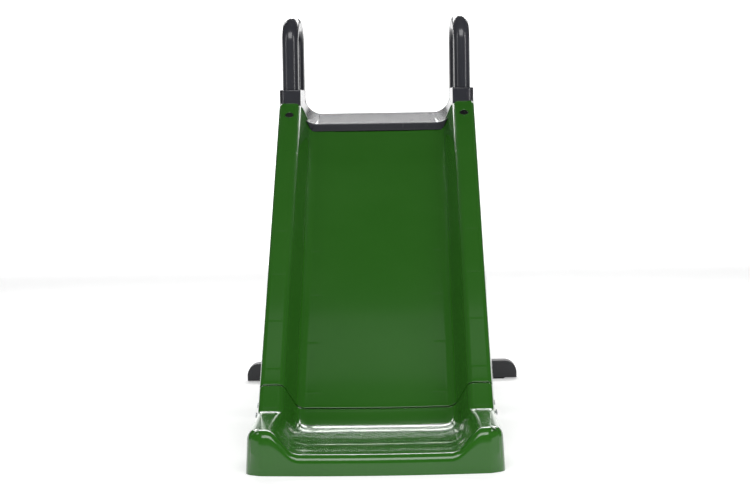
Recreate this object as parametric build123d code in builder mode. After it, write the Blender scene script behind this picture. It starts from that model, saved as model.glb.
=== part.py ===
"""Toddler's straight slide with a folding ladder, every moulding and fastener its own solid.

The frame has +Z up, the runout's front edge towards -Y, the ladder towards +Y, and its origin on
the floor at the middle of the slide's footprint. All sizes are millimetres.
"""
import os
from math import atan2, cos, hypot, radians, sin, tan

from build123d import *

os.makedirs("parts", exist_ok=True)

# Overall sizes
overall_length = 1230
overall_height = 784
foot_bar_width = 586
front_y = -overall_length / 2
rear_y = overall_length / 2

# Sliding surface: where its rails start and end, and its cross-section, measured square to the slope
seam_from_front = 236
seam_height = 119
rail_end_from_rear = 245
rail_end_height = 604
bed_depth = 56
bed_depth_at_top = 46
bed_foot_half = 135
crown_inner_half = 160
crown_outer_half = 197
flank_half = 210
base_half = 212
flank_depth = 66
crown_radius = 8
bed_foot_radius = 12
wall = 4
seam_gap = 2

seam_y = front_y + seam_from_front
rail_end_y = rear_y - rail_end_from_rear
slope = atan2(rail_end_height - seam_height, rail_end_y - seam_y)
rail_length = hypot(rail_end_height - seam_height, rail_end_y - seam_y)
rail_middle = (crown_inner_half + crown_outer_half) / 2

# Screws that join the chute and the runout, on the runout's flanks below the seam
joint_screw_drops = (-24, -46)
joint_screw_run = -26
screw_radius = 2
screw_hole_radius = 2.15
screw_head_radius = 4.5
screw_head_height = 2.4

# Clearances
fit_gap = 0.4
running_gap = 0.05
side_gap = 1.0

# Length of cutting solids that reach past everything they cut
beyond = 500


def slope_plane(run):
    """Plane square to the slope, run along it from the seam, its y axis out of the surface."""
    return Plane(
        origin=(0, seam_y + run * cos(slope), seam_height + run * sin(slope)),
        x_dir=(1, 0, 0),
        z_dir=(0, -cos(slope), -sin(slope)),
    )


def rail_crown_plane(side, run):
    """Plane lying on a rail's crown, its z axis out of the crown, its y axis up the slope."""
    return Plane(
        origin=(side * rail_middle, seam_y + run * cos(slope), seam_height + run * sin(slope)),
        x_dir=(1, 0, 0),
        z_dir=(0, -sin(slope), cos(slope)),
    )


def depth_at(run):
    """Depth of the bed under the crowns, easing as the surface climbs."""
    return bed_depth + (bed_depth_at_top - bed_depth) * run / rail_length


def offset_outline(points, gap):
    """Shift an open outline to its right by gap, keeping the heights of its two ends."""
    lines = []
    for (x0, y0), (x1, y1) in zip(points, points[1:]):
        length = hypot(x1 - x0, y1 - y0)
        shift_x = gap * (y1 - y0) / length
        shift_y = -gap * (x1 - x0) / length
        lines.append(((x0 + shift_x, y0 + shift_y), (x1 - x0, y1 - y0)))
    (start, heading), (end, end_heading) = lines[0], lines[-1]
    moved = [(start[0] + heading[0] * (points[0][1] - start[1]) / heading[1], points[0][1])]
    for (a, u), (b, v) in zip(lines, lines[1:]):
        along = ((b[0] - a[0]) * v[1] - (b[1] - a[1]) * v[0]) / (u[0] * v[1] - u[1] * v[0])
        moved.append((a[0] + along * u[0], a[1] + along * u[1]))
    moved.append((end[0] + end_heading[0] * (points[-1][1] - end[1]) / end_heading[1], points[-1][1]))
    return moved


def surface_outline(depth, gap=0.0):
    """Flank, crown, bed, crown, flank: the sliding surface's outline, gap below its skin."""
    right = [
        (bed_foot_half, -depth),
        (crown_inner_half, 0),
        (crown_outer_half, 0),
        (flank_half, -flank_depth),
    ]
    left = [(-x, y) for x, y in reversed(right)]
    return offset_outline(left + right, gap)


def outline_radii(gap):
    """Corner radii of that outline: the crowns tighten inwards while the bed's feet open."""
    crown = max(crown_radius - gap, 1.5)
    foot = bed_foot_radius + gap
    return [crown, crown, foot, foot, crown, crown]


def skin_section(run, top_gap, thickness):
    """Thin section that follows the sliding surface, top_gap under its skin."""
    with BuildSketch(slope_plane(run)) as section:
        with BuildLine():
            bottom_gap = top_gap + thickness
            upper = FilletPolyline(*surface_outline(depth_at(run), top_gap), radius=outline_radii(top_gap))
            lower = FilletPolyline(
                *surface_outline(depth_at(run), bottom_gap), radius=outline_radii(bottom_gap)
            )
            Line(upper @ 0, lower @ 0)
            Line(upper @ 1, lower @ 1)
        make_face()
    return section.sketch


def filled_section(run, clearance, below):
    """Everything under the sliding surface, clearance proud of its skin."""
    with BuildSketch(slope_plane(run)) as section:
        with BuildLine():
            upper = FilletPolyline(
                *surface_outline(depth_at(run), -clearance), radius=outline_radii(-clearance)
            )
            Polyline(
                upper @ 1,
                (flank_half + clearance, -below),
                (-flank_half - clearance, -below),
                upper @ 0,
            )
        make_face()
    return section.sketch


# Platform, its U-shaped tray and the handrail sockets
deck_front_y = rail_end_y - 11
deck_front_z = rail_end_height - 43
deck_length = 157
deck_rise = 21
deck_corner = 34
tray_half_front = 157
tray_half_rear = 152
fascia_height = 16
deck_wall = 4
collar_half = 200.5
collar_height = 28
collar_top = rail_end_height + collar_height
saddle_rear_y = deck_front_y + deck_length
bed_end_y = deck_front_y + 22

# Handrails: loops that plug into the collars
tube_width = 34
tube_depth = 36
tube_corner = 0.47 * min(tube_width, tube_depth)
tube_wall = 3
loop_radius = 40
toe_in = 4
handrail_half = 177
handrail_front_y = rail_end_y + 21
leg_spacing = 104
socket_depth = 54
socket_floor_z = collar_top - socket_depth

# Ladder: its pivots under the platform and its foot on the floor
hinge_from_rear = 134
hinge_drop = 79
hinge_y = rear_y - hinge_from_rear
hinge_z = rail_end_height - hinge_drop
bar_depth = 42
bar_height = 40
bar_end_radius = 26
bar_y = rear_y - bar_depth / 2
pad_height = 3
lean = atan2(bar_y - hinge_y, hinge_z - bar_height / 2)
leg_width = 52
leg_thickness = 26
leg_half = rail_middle
leg_head = 34
leg_foot_width = 34
leg_web = 4
leg_flange = 4
pin_radius = 5
step_count = 3
step_depth = 84
step_height = 24
step_wall = 3
tenon_width = 24
tenon_thickness = 18
tenon_bottom = 12


def ladder_plane(x):
    """Plane at x, its x axis square to the legs towards the rear, its y axis up the legs."""
    return Plane(origin=(x, hinge_y, hinge_z), x_dir=(0, cos(lean), sin(lean)), z_dir=(1, 0, 0))


def leg_y(height):
    """Where the middle of the legs is at a given height."""
    return hinge_y + (hinge_z - height) * tan(lean)


def disc(plane, radius):
    """A round face on a plane."""
    with BuildSketch(plane) as face:
        Circle(radius)
    return face.sketch


def put_screw(seat, head_radius, head_height, shank_radius, length):
    """A pan-head screw: its head stands on the seat plane, its shank goes down through it."""
    extrude(disc(seat, head_radius), amount=head_height)
    extrude(disc(seat, shank_radius), amount=-length)


def flank_plane(side, run, drop):
    """Plane lying on a rail's outer flank, drop below the crown, its z axis outwards."""
    draft = (flank_half - crown_outer_half) / flank_depth
    out = Vector(side, draft * -sin(slope), draft * cos(slope)).normalized()
    place = slope_plane(run).from_local_coords((side * (crown_outer_half - draft * drop), drop, 0))
    return Plane(origin=place, x_dir=(0, cos(slope), sin(slope)), z_dir=out)


joint_seats = [flank_plane(s, joint_screw_run, d) for s in (-1, 1) for d in joint_screw_drops]

# ---------------------------------------------------------------- chute
rib_runs = [42 + 135 * i for i in range(6)]
rib_thickness = 2.5
spigot_length = 45
spigot_wall = 3
spigot_root = 12
screw_bore = 20
bolt_from_end = 42
bolt_run = rail_length - bolt_from_end
bolt_recess_radius = 9
bolt_recess_depth = 3
bolt_hole_radius = 3.2
bolt_pad_half = 13
skirt_lift = 30
skirt_sweep = 60
skirt_bulge = 7

over_run = rail_length + 80
rail_cut_half = tray_half_front - 10


def skirt_cut(side):
    """Side view of what is rounded off a rail's outer skirt below its collar."""
    with BuildSketch(Plane.YZ.offset(side * rail_middle)) as outline:
        with BuildLine():
            top = (rail_end_y + 1, rail_end_height - skirt_lift)
            edge = slope_plane(rail_length - skirt_sweep).from_local_coords((0, -flank_depth - 1, 0))
            floor = rail_end_height - 3 * flank_depth
            Polyline((edge.Y, edge.Z), (edge.Y, floor), (top[0], floor), top)
            SagittaArc(top, (edge.Y, edge.Z), skirt_bulge)
        make_face()
    return outline.sketch


with BuildPart() as chute:
    loft(sections=[skin_section(seam_gap / 2, 0, wall), skin_section(over_run, 0, wall)], ruled=True)
    # Everything behind the platform's fascia and the collars is cut off upright
    with Locations((0, bed_end_y + beyond / 2, rail_end_height)):
        Box(beyond, beyond, beyond, mode=Mode.SUBTRACT)
    for side in (-1, 1):
        with Locations((side * (rail_cut_half + beyond / 2), rail_end_y + beyond / 2, rail_end_height)):
            Box(beyond, beyond, beyond, mode=Mode.SUBTRACT)
    for side in (-1, 1):
        extrude(skirt_cut(side), amount=side * base_half, mode=Mode.SUBTRACT)
    # Cross ribs: one inside each rail and one under the bed, at the same places
    for run in rib_runs:
        with BuildSketch(slope_plane(run)) as rib_outline:
            drop = depth_at(run)
            rib_height = flank_depth - drop - wall / 2
            with BuildLine():
                inner = surface_outline(drop, wall / 2)
                Polyline(*inner[:4], (inner[3][0], -flank_depth), inner[0])
            make_face()
            mirror(about=Plane.YZ)
            with Locations((0, -flank_depth + rib_height / 2)):
                Rectangle(2 * bed_foot_half, rib_height)
        extrude(amount=rib_thickness / 2, both=True)
    # Spigot that slides into the runout
    loft(
        sections=[
            skin_section(-spigot_length, wall + fit_gap, spigot_wall),
            skin_section(spigot_root, wall + fit_gap, spigot_wall),
        ],
        ruled=True,
    )
    loft(
        sections=[
            skin_section(seam_gap / 2, wall / 2, wall),
            skin_section(spigot_root, wall / 2, wall),
        ],
        ruled=True,
    )
    # Pads under the crowns, with the recess and hole of each rail bolt
    for side in (-1, 1):
        with BuildSketch(rail_crown_plane(side, bolt_run).offset(-wall / 2)):
            Rectangle(2 * bolt_pad_half, 2 * bolt_pad_half)
        extrude(amount=-wall * 1.5)
        with BuildSketch(rail_crown_plane(side, bolt_run)):
            Circle(bolt_recess_radius)
        extrude(amount=-bolt_recess_depth, mode=Mode.SUBTRACT)
        with BuildSketch(rail_crown_plane(side, bolt_run)):
            Circle(bolt_hole_radius)
        extrude(amount=-3 * wall, mode=Mode.SUBTRACT)
    for seat in joint_seats:
        extrude(disc(seat, screw_hole_radius), amount=-screw_bore, mode=Mode.SUBTRACT)
chute.part.label = "chute"
export_step(chute.part, "parts/chute.step")

# ---------------------------------------------------------------- runout
base_top_half = crown_outer_half
plateau_height = 72
base_length = 195
front_bow = 14
base_corner = 28
front_round = 14
front_draft = 3
heel_round = 25
bed_front_height = 33
bed_flat_angle = radians(3)
trough_foot_front = 128
trough_flare = (crown_inner_half - bed_foot_half) / bed_depth
trough_flare_front = 0.85
trough_reach = 100
trough_sections = 9
past_front = 40
pad_radius = 12
pad_thickness = 4
pad_stem_radius = 4
pad_stem_length = 12
pad_places = [(s * 178, front_y + d) for s in (-1, 1) for d in (45, 165)]

bed_seam = slope_plane(0).from_local_coords((0, -bed_depth, 0))
flat_rise = tan(bed_flat_angle)
knee_y = (
    bed_front_height - bed_seam.Z - flat_rise * front_y + tan(slope) * bed_seam.Y
) / (tan(slope) - flat_rise)
knee_z = bed_front_height + flat_rise * (knee_y - front_y)
knee_reach = hypot(bed_seam.Y - knee_y, bed_seam.Z - knee_z) - seam_gap
knee_radius = knee_reach / tan((slope - bed_flat_angle) / 2)


def trough_form(grow, overshoot):
    """The space above the runout's bed, grow larger all round; it rides along the bed's curve."""
    with BuildLine(Plane.YZ) as bed:
        up = (overshoot * cos(slope), overshoot * sin(slope))
        FilletPolyline(
            (bed_seam.Y + up[0], bed_seam.Z + up[1]),
            (knee_y, knee_z),
            (front_y - past_front, bed_front_height - past_front * flat_rise),
            radius=knee_radius,
        )
    path = bed.wires()[0]
    sections = []
    for step in range(trough_sections):
        place = path @ (step / (trough_sections - 1))
        heading = path % (step / (trough_sections - 1))
        ahead = min(max((knee_y - place.Y) / (knee_y - front_y), 0), 1)
        foot = bed_foot_half + (trough_foot_front - bed_foot_half) * ahead
        flare = trough_flare + (trough_flare_front - trough_flare) * ahead**2
        top = foot + flare * trough_reach
        outline = [(-top, trough_reach), (-foot, 0), (foot, 0), (top, trough_reach)]
        with BuildSketch(Plane(origin=place, x_dir=(1, 0, 0), z_dir=heading)) as section:
            with BuildLine():
                low = FilletPolyline(*offset_outline(outline, grow), radius=bed_foot_radius + grow)
                Line(low @ 1, low @ 0)
            make_face()
        sections.append(section.sketch)
    with BuildPart() as form:
        loft(sections=sections, ruled=True)
    return form.part


def runout_form(inset, overshoot):
    """The runout's outline as a solid block without its trough, inset all round."""
    crown = slope_plane(0).from_local_coords((0, -inset, 0))
    skirt = slope_plane(0).from_local_coords((0, -flank_depth, 0))
    heel_y = crown.Y - (crown.Z - plateau_height + inset) / tan(slope)
    draft = (flank_half - crown_outer_half) / flank_depth
    base_draft = (base_half - base_top_half) / plateau_height
    past = (overshoot * cos(slope), overshoot * sin(slope))
    low = -overshoot
    with BuildPart() as form:
        # Two drafted prisms, one along the slope and one along the floor, bound the flanks
        with BuildSketch(slope_plane(overshoot)):
            rise = beyond / 10
            drop = beyond / 3
            Polygon(
                (-crown_outer_half - draft * drop + inset, -drop),
                (-crown_outer_half + draft * rise + inset, rise),
                (crown_outer_half - draft * rise - inset, rise),
                (crown_outer_half + draft * drop - inset, -drop),
                align=None,
            )
        extrude(amount=beyond)
        with BuildSketch(Plane.XZ.offset(-front_y - beyond)):
            rise = 2 * plateau_height
            Polygon(
                (-base_half + base_draft * low + inset, low),
                (-base_half + base_draft * rise + inset, rise),
                (base_half - base_draft * rise - inset, rise),
                (base_half - base_draft * low - inset, low),
                align=None,
            )
        extrude(amount=beyond + base_corner)
        # Side view: slope, heel, plateau, front, floor and the rising rear edge
        with BuildSketch(Plane.YZ) as side:
            with BuildLine():
                top = FilletPolyline(
                    (crown.Y + past[0], crown.Z + past[1]),
                    (heel_y, plateau_height - inset),
                    (front_y + inset + front_draft, plateau_height - inset),
                    (front_y + inset, low),
                    radius=[heel_round + inset, front_round - inset],
                )
                Polyline(
                    top @ 1,
                    (front_y + base_length + overshoot, low),
                    (skirt.Y + past[0], skirt.Z - overshoot),
                    top @ 0,
                )
            make_face()
        extrude(amount=base_half + 20, both=True, mode=Mode.INTERSECT)
        # Plan view: bowed front with rounded corners
        with BuildSketch() as plan:
            with BuildLine():
                half = base_half - inset
                corner_y = front_y + front_bow + inset
                ThreePointArc((-half, corner_y), (0, front_y + inset), (half, corner_y))
                Polyline((half, corner_y), (half, 0), (-half, 0), (-half, corner_y))
            make_face()
            fillet(plan.vertices().group_by(Axis.Y)[0], radius=base_corner - inset)
        extrude(amount=2 * seam_height, both=True, mode=Mode.INTERSECT)
        add(trough_form(inset, overshoot + past_front), mode=Mode.SUBTRACT)
    return form.part


with BuildPart() as runout:
    add(runout_form(0, 0))
    with BuildSketch(slope_plane(0)):
        Rectangle(3 * base_half, 3 * base_half)
    extrude(amount=seam_gap / 2, mode=Mode.SUBTRACT)
    add(runout_form(wall, screw_bore), mode=Mode.SUBTRACT)
    for seat in joint_seats:
        extrude(disc(seat, screw_hole_radius), amount=-screw_bore, mode=Mode.SUBTRACT)
    # Bosses that carry the rubber pads
    for x, y in pad_places:
        boss_height = plateau_height - wall / 2 - pad_thickness
        extrude(disc(Plane((x, y, pad_thickness)), pad_radius), amount=boss_height)
        stem_height = pad_thickness + pad_stem_length
        extrude(disc(Plane((x, y, 0)), pad_stem_radius), amount=stem_height, mode=Mode.SUBTRACT)
runout.part.label = "runout"
export_step(runout.part, "parts/runout.step")

# ---------------------------------------------------------------- saddle (platform)
deck_tilt = atan2(deck_rise, deck_length)
collar_front_y = rail_end_y + seam_gap / 2
tray_front_top = rail_end_height - 14
block_corner = 14
chute_gap = 1
saddle_bottom = hinge_z - leg_head + 12
lug_thickness = 6
lug_reach = 60
inner_lug_half = leg_half - leg_thickness / 2 - side_gap
outer_lug_half = leg_half + leg_thickness / 2 + side_gap
boss_radius = 13
socket_wall = 3
tongue_half_width = 11
tongue_height = 14
tongue_length = 75
tongue_top_gap = 2 * wall + 0.3
stop_thickness = 6.5
stop_low = 19
stop_height = 13
stop_gap = 0.3
stop_rib = 7
collar_screw_z = collar_top - 16
collar_screw_length = 20


def tray_section(run, grow, height):
    """The U-shaped space over the deck at run behind its front edge, grow larger all round."""
    half = tray_half_front + (tray_half_rear - tray_half_front) * run / deck_length + grow
    upright = Plane(
        origin=(0, deck_front_y + run, deck_front_z + run * tan(deck_tilt)),
        x_dir=(1, 0, 0),
        z_dir=(0, -1, 0),
    )
    with BuildSketch(upright) as section:
        with BuildLine():
            low = FilletPolyline(
                (-half, height), (-half, -grow), (half, -grow), (half, height), radius=deck_corner + grow
            )
            Line(low @ 1, low @ 0)
        make_face()
    return section.sketch


def tray_room(grow):
    """The whole U-shaped space over the deck."""
    with BuildPart() as room:
        loft(
            sections=[
                tray_section(-deck_corner, grow, deck_length),
                tray_section(deck_length + deck_corner, grow, deck_length),
            ],
            ruled=True,
        )
    return room.part


def chute_room():
    """Room for the chute's upper end: its filled outline, cut off just behind its own ends."""
    with BuildPart() as room:
        loft(
            sections=[
                filled_section(rail_length - deck_length, chute_gap, deck_length),
                filled_section(over_run, chute_gap, deck_length),
            ],
            ruled=True,
        )
        with Locations((0, bed_end_y + chute_gap + beyond / 2, rail_end_height)):
            Box(beyond, beyond, 2 * beyond, mode=Mode.SUBTRACT)
        for side in (-1, 1):
            edge = rail_cut_half + beyond / 2
            with Locations((side * edge, collar_front_y + beyond / 2, rail_end_height)):
                Box(beyond, beyond, 2 * beyond, mode=Mode.SUBTRACT)
    return room.part


def handrail_plane(side):
    """Upright plane of a handrail, its x axis from the front leg to the rear one."""
    turn = radians(toe_in)
    return Plane(
        origin=(side * handrail_half, handrail_front_y, 0),
        x_dir=(-side * sin(turn), cos(turn), 0),
        z_dir=(cos(turn), side * sin(turn), 0),
    )


def leg_section(side, place, height, grow):
    """Level cross-section of a handrail leg, place behind the front leg, grow larger all round."""
    frame = handrail_plane(side)
    level = Plane(
        origin=frame.from_local_coords((place, height, 0)), x_dir=frame.x_dir, z_dir=(0, 0, 1)
    )
    with BuildSketch(level) as section:
        RectangleRounded(tube_depth + 2 * grow, tube_width + 2 * grow, tube_corner + grow)
    return section.sketch


def block(low, high):
    """A box between two corners."""
    size = [h - l for l, h in zip(low, high)]
    with BuildPart() as solid:
        with Locations(tuple((l + h) / 2 for l, h in zip(low, high))):
            Box(*size)
    return solid.part


def saddle_hollow():
    """Everything that is empty under the platform's skin."""
    with BuildPart() as hollow:
        add(block(
            (-collar_half + wall, collar_front_y + wall, saddle_bottom - 10),
            (collar_half - wall, saddle_rear_y - wall, collar_top - wall),
        ))
        add(block(
            (-tray_half_front - 2, deck_front_y + wall, saddle_bottom - 10),
            (tray_half_front + 2, collar_front_y + 2 * wall, tray_front_top + 10),
        ))
        add(tray_room(deck_wall), mode=Mode.SUBTRACT)
        for side in (-1, 1):
            for place in (0, leg_spacing):
                extrude(
                    leg_section(side, place, socket_floor_z - socket_wall, fit_gap + socket_wall),
                    amount=socket_depth + 10,
                    mode=Mode.SUBTRACT,
                )
    return hollow.part


with BuildPart() as saddle:
    # Solid outline: the block under the handrails, and the tray's front reaching between the rails
    with BuildSketch(Plane.XY.offset(saddle_bottom)):
        with Locations((0, (collar_front_y + saddle_rear_y) / 2)):
            RectangleRounded(2 * collar_half, saddle_rear_y - collar_front_y, block_corner)
    extrude(amount=collar_top - saddle_bottom)
    add(block(
        (-tray_half_front - 2, deck_front_y, deck_front_z - fascia_height),
        (tray_half_front + 2, collar_front_y + wall, tray_front_top),
    ))
    add(tray_room(0), mode=Mode.SUBTRACT)
    add(saddle_hollow(), mode=Mode.SUBTRACT)
    add(chute_room(), mode=Mode.SUBTRACT)
    for side in (-1, 1):
        # Lugs and bosses for the ladder's hinge pin, and the rib that carries its buffer
        low_x, high_x = sorted((side * (inner_lug_half - lug_thickness), side * inner_lug_half))
        add(block(
            (low_x, hinge_y - lug_reach, saddle_bottom),
            (high_x, saddle_rear_y - wall / 2, socket_floor_z),
        ))
        outer_face = Plane(origin=(side * outer_lug_half, hinge_y, hinge_z), z_dir=(side, 0, 0))
        extrude(disc(outer_face, boss_radius), amount=collar_half - outer_lug_half)
        with BuildSketch(ladder_plane(side * (inner_lug_half - 1))):
            with Locations((-leg_width / 2 - stop_gap - stop_thickness - stop_rib / 2,
                            stop_low + stop_height / 2 + 2)):
                Rectangle(stop_rib, stop_height + 8)
        extrude(amount=side * (collar_half - inner_lug_half - 1))
        # Tongue inside the rail, for the bolt through its crown
        with BuildSketch(rail_crown_plane(side, rail_length - tongue_length).offset(-tongue_top_gap)):
            with Locations((0, tongue_length / 2 + 8)):
                Rectangle(2 * tongue_half_width, tongue_length + 16)
        extrude(amount=-tongue_height)
        extrude(disc(rail_crown_plane(side, bolt_run), bolt_hole_radius), amount=-60, mode=Mode.SUBTRACT)
        # Sockets, hinge bore and the notch behind the ladder leg
        for place in (0, leg_spacing):
            extrude(leg_section(side, place, socket_floor_z, fit_gap), amount=socket_depth + 10,
                    mode=Mode.SUBTRACT)
        extrude(disc(Plane(origin=(side * 100, hinge_y, hinge_z), z_dir=(side, 0, 0)),
                     pin_radius + running_gap), amount=150, mode=Mode.SUBTRACT)
        low_x, high_x = sorted((side * inner_lug_half, side * (outer_lug_half + 1)))
        add(block(
            (low_x, saddle_rear_y - 3 * wall, saddle_bottom - 5),
            (high_x, saddle_rear_y + 5, hinge_z + 24),
        ), mode=Mode.SUBTRACT)
    for side in (-1, 1):
        for place in (0, leg_spacing):
            y = handrail_front_y + place * cos(radians(toe_in))
            seat = Plane(origin=(side * collar_half, y, collar_screw_z), z_dir=(side, 0, 0))
            extrude(disc(seat, screw_head_radius), amount=-screw_head_height, mode=Mode.SUBTRACT)
            extrude(disc(seat, screw_radius), amount=-collar_screw_length - 1, mode=Mode.SUBTRACT)
saddle.part.label = "saddle"
export_step(saddle.part, "parts/saddle.step")

# ---------------------------------------------------------------- handrails
leg_end_z = socket_floor_z + 1
arch_z = overall_height - tube_depth / 2


def handrail_path(side):
    """Centre line: up the front leg, over the top and down the rear leg."""
    with BuildLine(handrail_plane(side)) as path:
        FilletPolyline(
            (0, leg_end_z), (0, arch_z), (leg_spacing, arch_z), (leg_spacing, leg_end_z), radius=loop_radius
        )
    return path.wires()[0]


def handrail(side):
    """A hollow loop, open at its two feet, with the screw hole in each foot."""
    with BuildPart() as loop:
        path = handrail_path(side)
        sweep(leg_section(side, 0, leg_end_z, 0), path=path)
        sweep(leg_section(side, 0, leg_end_z, -tube_wall), path=path, mode=Mode.SUBTRACT)
        for place in (0, leg_spacing):
            y = handrail_front_y + place * cos(radians(toe_in))
            seat = Plane(origin=(side * collar_half, y, collar_screw_z), z_dir=(side, 0, 0))
            extrude(disc(seat, screw_radius), amount=-collar_screw_length - 1, mode=Mode.SUBTRACT)
    return loop.part


for side, name in ((-1, "handrail_left"), (1, "handrail_right")):
    rail = handrail(side)
    rail.label = name
    export_step(rail, f"parts/{name}.step")

# ---------------------------------------------------------------- ladder legs
bar_top = bar_height
leg_inner_half = leg_half - leg_thickness / 2
step_tops = [deck_front_z * i / (step_count + 1) for i in range(1, step_count + 1)]
step_screw_spread = 18
boss_wall = 4
leg_rib = 3
foot_hole_radius = screw_radius - 0.3


def leg_outline(grow=0.0):
    """Side view of a leg: squared head that meets the buffer, taper, tenon in the foot bar."""
    half = leg_width / 2 - grow
    foot = leg_foot_width / 2 - grow
    shoulder = ladder_plane(0).to_local_coords(Vector(0, leg_y(bar_top + grow), bar_top + grow)).Y
    head = leg_head - grow
    Polyline(
        (-half, 0), (-half, head), (-2, head), (half * 0.7, head * 0.6), (half, 0),
        (foot, shoulder), (-foot, shoulder), close=True,
    )


def ladder_leg(side):
    """Channel with its web inside, its flanges outside, a hinge bore and a tenon."""
    web_x = side * leg_inner_half
    low_x, high_x = sorted((web_x, web_x + side * (leg_thickness - 2)))
    rib_reach = leg_foot_width / 2 - 2
    with BuildPart() as leg:
        with BuildSketch(ladder_plane(web_x)):
            with BuildLine():
                leg_outline()
            make_face()
        extrude(amount=side * leg_thickness)
        with BuildSketch(ladder_plane(web_x + side * leg_web)):
            with BuildLine():
                leg_outline(leg_flange)
            make_face()
        extrude(amount=side * leg_thickness, mode=Mode.SUBTRACT)
        # Level top of the foot bar: the shoulder is cut to it, and the tenon goes through
        add(block((-beyond, 0, -beyond), (beyond, 2 * beyond, bar_top)), mode=Mode.SUBTRACT)
        add(block(
            (side * leg_half - tenon_thickness / 2, leg_y(bar_top) - tenon_width / 2, tenon_bottom),
            (side * leg_half + tenon_thickness / 2, leg_y(bar_top) + tenon_width / 2, bar_top + 14),
        ))
        # Hinge boss, and a pair of cross ribs at each step
        extrude(disc(ladder_plane(web_x), boss_radius), amount=side * leg_thickness)
        for top in step_tops:
            for drop in (-2, step_height - 2):
                height = top - drop
                middle = leg_y(height)
                add(block(
                    (low_x, middle - rib_reach, height - leg_rib / 2),
                    (high_x, middle + rib_reach, height + leg_rib / 2),
                ))
            for spread in (-1, 1):
                seat = Plane(
                    origin=(web_x, leg_y(top - step_height / 2) + spread * step_screw_spread / 2,
                            top - step_height / 2),
                    z_dir=(side, 0, 0),
                )
                extrude(disc(seat, screw_hole_radius), amount=leg_thickness, mode=Mode.SUBTRACT)
        extrude(disc(ladder_plane(web_x - side), pin_radius + running_gap),
                amount=side * (leg_thickness + 2), mode=Mode.SUBTRACT)
        extrude(disc(Plane((side * leg_half, leg_y(bar_top), 0)), foot_hole_radius),
                amount=bar_top, mode=Mode.SUBTRACT)
    return leg.part


for side, name in ((-1, "ladder_leg_left"), (1, "ladder_leg_right")):
    leg = ladder_leg(side)
    leg.label = name
    export_step(leg, f"parts/{name}.step")

# ---------------------------------------------------------------- steps
step_half = leg_inner_half - 0.2
step_screw_length = 16
tread_pitch = 12
tread_rise = 1.5
tread_width = 5
step_rib_pitch = 55
step_corner = 5
tread_count = 6
tread_margin = 12


def step(top):
    """A tread open underneath, with ridges along it, cross ribs and closed ends."""
    middle = leg_y(top - step_height / 2)
    with BuildPart() as tread:
        with BuildSketch(Plane.YZ):
            with Locations((middle, top - tread_rise - (step_height - tread_rise) / 2)):
                RectangleRounded(step_depth, step_height - tread_rise, step_corner)
        extrude(amount=step_half, both=True)
        with BuildSketch(Plane.YZ):
            with Locations((middle, top - tread_rise)):
                with GridLocations(tread_pitch, 0, tread_count, 1):
                    Rectangle(tread_width, 2 * tread_rise)
        extrude(amount=step_half - tread_margin, both=True)
        rib_count = int(2 * step_half / step_rib_pitch)
        pitch = 2 * step_half / rib_count
        with BuildSketch(Plane.XY.offset(top - step_height)):
            with Locations((0, middle)):
                with GridLocations(pitch, 0, rib_count, 1):
                    Rectangle(pitch - step_wall, step_depth - 2 * step_wall)
        extrude(amount=step_height - tread_rise - step_wall, mode=Mode.SUBTRACT)
        # Screw bosses in both ends
        for side in (-1, 1):
            for spread in (-1, 1):
                seat = Plane(
                    origin=(side * step_half, middle + spread * step_screw_spread / 2, top - step_height / 2),
                    z_dir=(side, 0, 0),
                )
                extrude(disc(seat, screw_radius + boss_wall / 2), amount=-step_screw_length)
                extrude(disc(seat, screw_radius), amount=-step_screw_length, mode=Mode.SUBTRACT)
    return tread.part


for name, top in zip(("step_lower", "step_middle", "step_upper"), step_tops):
    tread = step(top)
    tread.label = name
    export_step(tread, f"parts/{name}.step")

# ---------------------------------------------------------------- foot bar and its pads
bar_wall = 3.5
bar_rib_pitch = 60
bar_socket_half = tenon_thickness / 2 + 6
bar_edge = 4
foot_pad_half_length = 30
foot_pad_x = foot_bar_width / 2 - bar_end_radius - foot_pad_half_length

with BuildPart() as foot_bar:
    half = foot_bar_width / 2
    with BuildSketch(Plane.XZ.offset(-rear_y)):
        with BuildLine():
            Polyline(
                (half - bar_end_radius, bar_top), (-half + bar_end_radius, bar_top)
            )
            CenterArc((-half + bar_end_radius, bar_top - bar_end_radius), bar_end_radius, 90, 90)
            Polyline(
                (-half, bar_top - bar_end_radius), (-half, pad_height), (half, pad_height),
                (half, bar_top - bar_end_radius),
            )
            CenterArc((half - bar_end_radius, bar_top - bar_end_radius), bar_end_radius, 0, 90)
        make_face()
    extrude(amount=bar_depth)
    fillet(foot_bar.edges().filter_by(Axis.X).group_by(Axis.Z)[-1], radius=bar_edge)
    # Hollowed from below between cross ribs, but solid round the leg tenons
    rib_count = int((foot_bar_width - 2 * bar_end_radius) / bar_rib_pitch)
    with BuildSketch(Plane.XY.offset(pad_height)) as cells:
        with Locations((0, bar_y)):
            with GridLocations(bar_rib_pitch, 0, rib_count, 1):
                Rectangle(bar_rib_pitch - bar_wall, bar_depth - 2 * bar_wall)
        with Locations(*[(s * leg_half, bar_y) for s in (-1, 1)]):
            Rectangle(2 * bar_socket_half, bar_depth, mode=Mode.SUBTRACT)
    extrude(amount=bar_height - pad_height - bar_wall, mode=Mode.SUBTRACT)
    for side in (-1, 1):
        add(block(
            (side * leg_half - tenon_thickness / 2 - fit_gap, leg_y(bar_top) - tenon_width / 2 - fit_gap,
             tenon_bottom - fit_gap),
            (side * leg_half + tenon_thickness / 2 + fit_gap, leg_y(bar_top) + tenon_width / 2 + fit_gap,
             bar_top + 1),
        ), mode=Mode.SUBTRACT)
        extrude(disc(Plane((side * leg_half, leg_y(bar_top), 0)), screw_hole_radius), amount=bar_top,
                mode=Mode.SUBTRACT)
        extrude(disc(Plane((side * leg_half, leg_y(bar_top), 0)), screw_head_radius + 0.5),
                amount=pad_height + screw_head_height + 1, mode=Mode.SUBTRACT)
foot_bar.part.label = "foot_bar"
export_step(foot_bar.part, "parts/foot_bar.step")

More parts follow.
